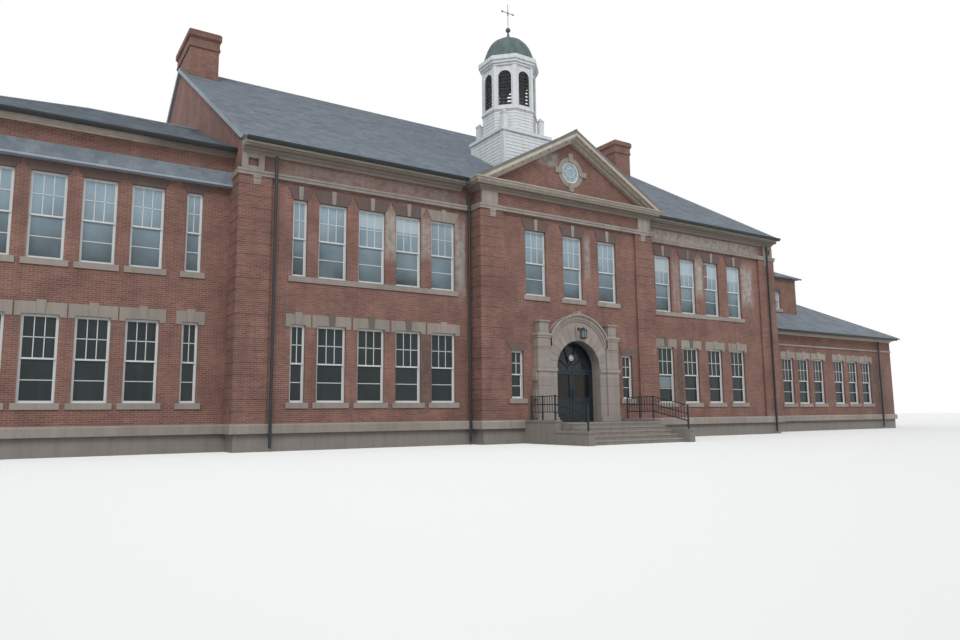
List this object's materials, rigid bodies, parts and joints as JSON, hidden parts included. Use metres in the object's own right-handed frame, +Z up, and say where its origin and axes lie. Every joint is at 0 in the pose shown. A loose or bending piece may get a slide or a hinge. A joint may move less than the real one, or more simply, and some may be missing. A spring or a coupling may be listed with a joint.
{
  "type": "half-scale model of a brick school building",
  "caption": "Half-scale school building: brick walls with stone trim, gabled slate roof, pedimented entrance pavilion, belfry, side wings and a double door that opens.",
  "frame": {"origin": "on the ground, on the axis of the entrance, in the plane of the recessed front wall", "axes": "+X to the right along the front as seen from the street, +Y into the building, +Z up"},
  "size_m": [27.79, 14.549, 10.907],
  "materials": {
    "brick": "weathered red-brown brick",
    "limestone": "weathered dressed stone",
    "cream_paint": "matt cream paint",
    "white_paint": "white painted wood",
    "dark_paint": "black paint",
    "slate": "blue-grey slate",
    "glass": "clear glass",
    "door_paint": "dark blue-green gloss paint",
    "copper": "verdigris with brown streaks",
    "floor": "plain boards"
  },
  "bodies": {
    "building": {"stone_base": "limestone", "floors": "floor", "front_wall_left": "brick", "front_wall_right": "brick", "pavilion_wall_left": "brick", "pavilion_wall_right": "brick", "pavilion_wall_over": "brick", "rear_walls": "brick", "end_walls": "brick", "wing_front_walls": "brick", "corner_piers": "brick", "stone_courses": "limestone", "window_lintels": "limestone", "window_sills": "limestone", "window_frames": "white_paint", "window_glass": "glass", "cornices": "cream_paint", "gutters": "dark_paint", "pediment_wall": "brick", "pediment_cornice": "cream_paint", "oculus": "limestone", "roof_front": "slate", "roof_rear": "slate", "pediment_roof": "slate", "wing_roofs": "slate", "chimneys": "brick", "portal_jambs": "limestone", "portal_arch": "limestone", "door_jambs": "door_paint", "fanlight": "door_paint", "wall_lantern": "dark_paint", "entrance_steps": "limestone", "stair_cheeks": "limestone", "railings": "dark_paint", "cupola_base": "white_paint", "belfry": "white_paint", "louvres": "white_paint", "cupola_cornice": "white_paint", "cupola_dome": "copper", "finial": "copper"},
    "door_left": {"door_left": "door_paint", "door_left_glass": "glass"},
    "door_right": {"door_right": "door_paint", "door_right_glass": "glass"},
    "vane": {"weathervane": "dark_paint"}
  },
  "joints": [
    {"name": "door_left_hinge", "type": "hinge", "parent": "building", "child": "door_left", "pos_m": [-0.5435, -0.233, 0.9], "axis": [0, 0, -1], "range_deg": [0, 90]},
    {"name": "door_right_hinge", "type": "hinge", "parent": "building", "child": "door_right", "pos_m": [0.5435, -0.233, 0.9], "axis": [0, 0, 1], "range_deg": [0, 90]},
    {"name": "vane_spin", "type": "hinge", "parent": "building", "child": "vane", "pos_m": [0, 1.9, 10.6], "axis": [0, 0, 1], "continuous": true}
  ]
}
